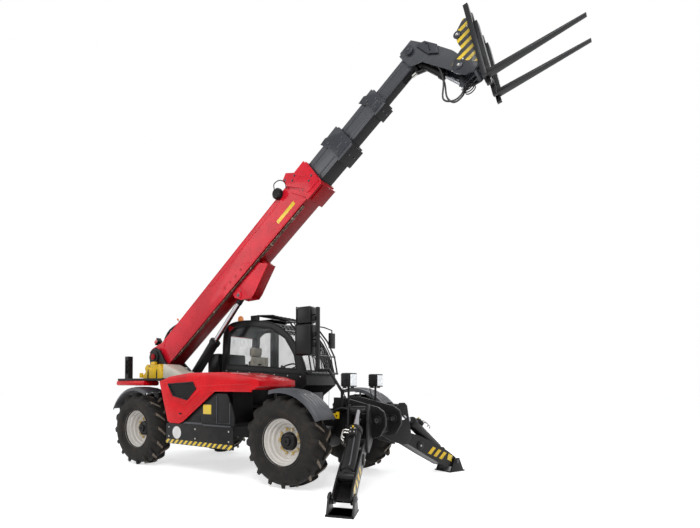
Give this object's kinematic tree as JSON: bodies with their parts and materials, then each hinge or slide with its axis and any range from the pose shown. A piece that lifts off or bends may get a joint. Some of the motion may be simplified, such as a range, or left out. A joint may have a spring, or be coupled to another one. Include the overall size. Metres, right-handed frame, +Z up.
{
  "type": "telehandler",
  "caption": "Rough-terrain lift truck with a raised telescopic boom, pallet forks, offset cab, side engine bonnet and front stabilisers",
  "frame": {"origin": "bottom centre of the parked machine's box, on the ground", "axes": "+X forward along the machine towards the forks, +Y to the driver's left, +Z up"},
  "size_m": [7.3504, 3.8404, 5.9225],
  "materials": {
    "red_paint": "glossy red paint, slightly worn at the edges",
    "black_paint": "black paint, satin",
    "grey_steel": "dark blue-grey paint, satin",
    "plain_grey": "plain cast grey",
    "grey_plastic": "moulded dark grey plastic",
    "silver_paint": "off-white silver paint",
    "tyre_rubber": "used rubber with dried earth in the tread",
    "chrome": "hard chrome rod",
    "yellow_paint": "yellow paint",
    "clear_glass": "slightly tinted clear glass",
    "lamp_lens": "white lamp lens",
    "amber_lens": "orange beacon lens",
    "red_lens": "red lamp lens",
    "hose_rubber": "black hydraulic hose",
    "zinc_pipe": "hydraulic pipe with a worn brown tint",
    "seat_fabric": "cream seat cover",
    "white_panel": "blank white disc and labels",
    "mirror_glass": "mirror glass"
  },
  "bodies": {
    "chassis": {"chassis_frame": "black_paint", "counterweight": "black_paint", "engine": "plain_grey", "side_skirt": "black_paint", "left_tank": "black_paint", "cab_shell": "black_paint", "cab_interior": "grey_plastic", "beacon": "amber_lens", "windscreen_guard": "black_paint", "left_mirror": "black_paint", "mirror_post": "black_paint", "work_light_right": "black_paint", "work_light_left": "black_paint", "front_axle": "black_paint", "rear_axle": "black_paint", "wheel_chocks": "yellow_paint", "tank_cover": "grey_plastic", "rear_box": "grey_plastic", "rear_cover_right": "red_paint", "rear_cover_left": "red_paint"},
    "engine_bonnet": {"bonnet": "red_paint", "bonnet_grille": "grey_plastic"},
    "door": {"cab_door": "black_paint"},
    "boom_root": {"boom_base": "red_paint", "boom_pipes": "zinc_pipe", "boom_lamp": "black_paint"},
    "boom_second": {"boom_mid_1": "grey_steel"},
    "boom_third": {"boom_mid_2": "grey_steel"},
    "boom_last": {"boom_tip": "grey_steel"},
    "lift_cylinder": {"lift_barrel": "black_paint"},
    "lift_piston": {"lift_rod": "chrome"},
    "tilt_cylinder": {"tilt_barrel": "black_paint"},
    "tilt_piston": {"tilt_rod": "chrome"},
    "fork_carriage": {"carriage": "grey_steel", "fork_frame": "black_paint"},
    "steered_front_right": {"knuckle_front_right": "black_paint", "fender_front_right": "grey_plastic"},
    "wheel_front_right": {"rim_front_right": "silver_paint", "tyre_front_right": "tyre_rubber"},
    "steered_front_left": {"knuckle_front_left": "black_paint", "fender_front_left": "grey_plastic"},
    "wheel_front_left": {"rim_front_left": "silver_paint", "tyre_front_left": "tyre_rubber"},
    "steered_rear_right": {"knuckle_rear_right": "black_paint", "fender_rear_right": "grey_plastic"},
    "wheel_rear_right": {"rim_rear_right": "silver_paint", "tyre_rear_right": "tyre_rubber"},
    "steered_rear_left": {"knuckle_rear_left": "black_paint", "fender_rear_left": "grey_plastic"},
    "wheel_rear_left": {"rim_rear_left": "silver_paint", "tyre_rear_left": "tyre_rubber"},
    "stabiliser_arm_right": {"stabiliser_leg_right": "black_paint"},
    "stabiliser_cylinder_right": {"stabiliser_barrel_right": "black_paint"},
    "stabiliser_piston_right": {"stabiliser_rod_right": "chrome"},
    "stabiliser_pad_right": {"stabiliser_foot_right": "black_paint"},
    "stabiliser_arm_left": {"stabiliser_leg_left": "black_paint"},
    "stabiliser_cylinder_left": {"stabiliser_barrel_left": "black_paint"},
    "stabiliser_piston_left": {"stabiliser_rod_left": "chrome"},
    "stabiliser_pad_left": {"stabiliser_foot_left": "black_paint"}
  },
  "joints": [
    {"name": "steer_front_right", "type": "hinge", "parent": "chassis", "child": "steered_front_right", "pos_m": [0.3339, -0.74, 0.61], "axis": [0, 0, 1], "range_deg": [-32, 32]},
    {"name": "spin_front_right", "type": "hinge", "parent": "steered_front_right", "child": "wheel_front_right", "pos_m": [0.3339, -0.985, 0.61], "axis": [0, 1, 0], "continuous": true},
    {"name": "steer_front_left", "type": "hinge", "parent": "chassis", "child": "steered_front_left", "pos_m": [0.3339, 0.74, 0.61], "axis": [0, 0, 1], "range_deg": [-32, 32]},
    {"name": "spin_front_left", "type": "hinge", "parent": "steered_front_left", "child": "wheel_front_left", "pos_m": [0.3339, 0.985, 0.61], "axis": [0, 1, 0], "continuous": true},
    {"name": "steer_rear_right", "type": "hinge", "parent": "chassis", "child": "steered_rear_right", "pos_m": [-2.7761, -0.74, 0.61], "axis": [0, 0, 1], "range_deg": [-32, 32]},
    {"name": "spin_rear_right", "type": "hinge", "parent": "steered_rear_right", "child": "wheel_rear_right", "pos_m": [-2.7761, -0.985, 0.61], "axis": [0, 1, 0], "continuous": true},
    {"name": "steer_rear_left", "type": "hinge", "parent": "chassis", "child": "steered_rear_left", "pos_m": [-2.7761, 0.74, 0.61], "axis": [0, 0, 1], "range_deg": [-32, 32]},
    {"name": "spin_rear_left", "type": "hinge", "parent": "steered_rear_left", "child": "wheel_rear_left", "pos_m": [-2.7761, 0.985, 0.61], "axis": [0, 1, 0], "continuous": true},
    {"name": "open_bonnet", "type": "hinge", "parent": "chassis", "child": "engine_bonnet", "pos_m": [-2.1461, -0.3, 1.46], "axis": [-1, 0, 0], "range_deg": [0, 60]},
    {"name": "open_door", "type": "hinge", "parent": "chassis", "child": "door", "pos_m": [-1.5651, 1.19, 0.8003], "axis": [0, 0, 1], "range_deg": [0, 95]},
    {"name": "boom_lift", "type": "hinge", "parent": "chassis", "child": "boom_root", "pos_m": [-3.4161, 0, 1.9], "axis": [0, -1, 0], "range_deg": [-40, 32]},
    {"name": "extend_1", "type": "slide", "parent": "boom_root", "child": "boom_second", "axis": [0.7934, 0, 0.6088], "range_m": [-0.25, 3.05]},
    {"name": "extend_2", "type": "slide", "parent": "boom_second", "child": "boom_third", "axis": [0.7934, 0, 0.6088], "range_m": [-0.25, 3.05]},
    {"name": "extend_3", "type": "slide", "parent": "boom_third", "child": "boom_last", "axis": [0.7934, 0, 0.6088], "range_m": [-0.25, 3.05]},
    {"name": "carriage_tilt", "type": "hinge", "parent": "boom_last", "child": "fork_carriage", "pos_m": [2.3326, 0, 5.3154], "axis": [0, -1, 0], "range_deg": [-60, 12]},
    {"name": "lift_barrel_hinge", "type": "hinge", "parent": "chassis", "child": "lift_cylinder", "pos_m": [-2.9461, 0, 1.11], "axis": [0, -1, 0], "range_deg": [-36.41, 29.13]},
    {"name": "lift_rod_slide", "type": "slide", "parent": "lift_cylinder", "child": "lift_piston", "axis": [0.6681, 0, 0.7441], "range_m": [-0.6494, 0.5196]},
    {"name": "tilt_barrel_hinge", "type": "hinge", "parent": "boom_last", "child": "tilt_cylinder", "pos_m": [1.7886, 0, 5.6417], "axis": [0, -1, 0], "range_deg": [-6.44, 1.3]},
    {"name": "tilt_rod_slide", "type": "slide", "parent": "tilt_cylinder", "child": "tilt_piston", "axis": [0.7382, 0, -0.6746], "range_m": [-0.1663, 0.0334]},
    {"name": "stabiliser_right", "type": "hinge", "parent": "chassis", "child": "stabiliser_arm_right", "pos_m": [1.2091, -0.6567, 0.62], "axis": [-0.9397, -0.342, 0], "range_deg": [0, 40]},
    {"name": "stabiliser_barrel_hinge_right", "type": "hinge", "parent": "stabiliser_arm_right", "child": "stabiliser_cylinder_right", "pos_m": [1.4964, -1.4461, 0.345], "axis": [-0.9397, -0.342, 0], "range_deg": [-9.41, 0.01]},
    {"name": "stabiliser_rod_slide_right", "type": "slide", "parent": "stabiliser_cylinder_right", "child": "stabiliser_piston_right", "axis": [-0.274, 0.7527, 0.5986], "range_m": [-0.2393, 0.0001]},
    {"name": "foot_right", "type": "hinge", "parent": "stabiliser_arm_right", "child": "stabiliser_pad_right", "pos_m": [1.5887, -1.6998, 0.165], "axis": [-0.9397, -0.342, 0], "range_deg": [-15, 15]},
    {"name": "stabiliser_left", "type": "hinge", "parent": "chassis", "child": "stabiliser_arm_left", "pos_m": [1.2091, 0.6567, 0.62], "axis": [0.9397, -0.342, 0], "range_deg": [0, 40]},
    {"name": "stabiliser_barrel_hinge_left", "type": "hinge", "parent": "stabiliser_arm_left", "child": "stabiliser_cylinder_left", "pos_m": [1.4964, 1.4461, 0.345], "axis": [0.9397, -0.342, 0], "range_deg": [-9.41, 0.01]},
    {"name": "stabiliser_rod_slide_left", "type": "slide", "parent": "stabiliser_cylinder_left", "child": "stabiliser_piston_left", "axis": [-0.274, -0.7527, 0.5986], "range_m": [-0.2393, 0.0001]},
    {"name": "foot_left", "type": "hinge", "parent": "stabiliser_arm_left", "child": "stabiliser_pad_left", "pos_m": [1.5887, 1.6998, 0.165], "axis": [0.9397, -0.342, 0], "range_deg": [-15, 15]}
  ],
  "couplings": [
    {"joint": "steer_front_left", "follows": "steer_front_right", "ratio": 1},
    {"joint": "steer_rear_left", "follows": "steer_rear_right", "ratio": 1},
    {"joint": "extend_2", "follows": "extend_1", "ratio": 1},
    {"joint": "extend_3", "follows": "extend_1", "ratio": 1},
    {"joint": "lift_barrel_hinge", "follows": "boom_lift", "ratio": 0.91},
    {"joint": "lift_rod_slide", "follows": "boom_lift", "m_per_rad": 0.93},
    {"joint": "tilt_barrel_hinge", "follows": "carriage_tilt", "ratio": 0.1072},
    {"joint": "tilt_rod_slide", "follows": "carriage_tilt", "m_per_rad": 0.1587},
    {"joint": "stabiliser_barrel_hinge_right", "follows": "stabiliser_right", "ratio": -0.235},
    {"joint": "stabiliser_rod_slide_right", "follows": "stabiliser_right", "m_per_rad": -0.3425},
    {"joint": "stabiliser_barrel_hinge_left", "follows": "stabiliser_left", "ratio": -0.235},
    {"joint": "stabiliser_rod_slide_left", "follows": "stabiliser_left", "m_per_rad": -0.3425}
  ]
}
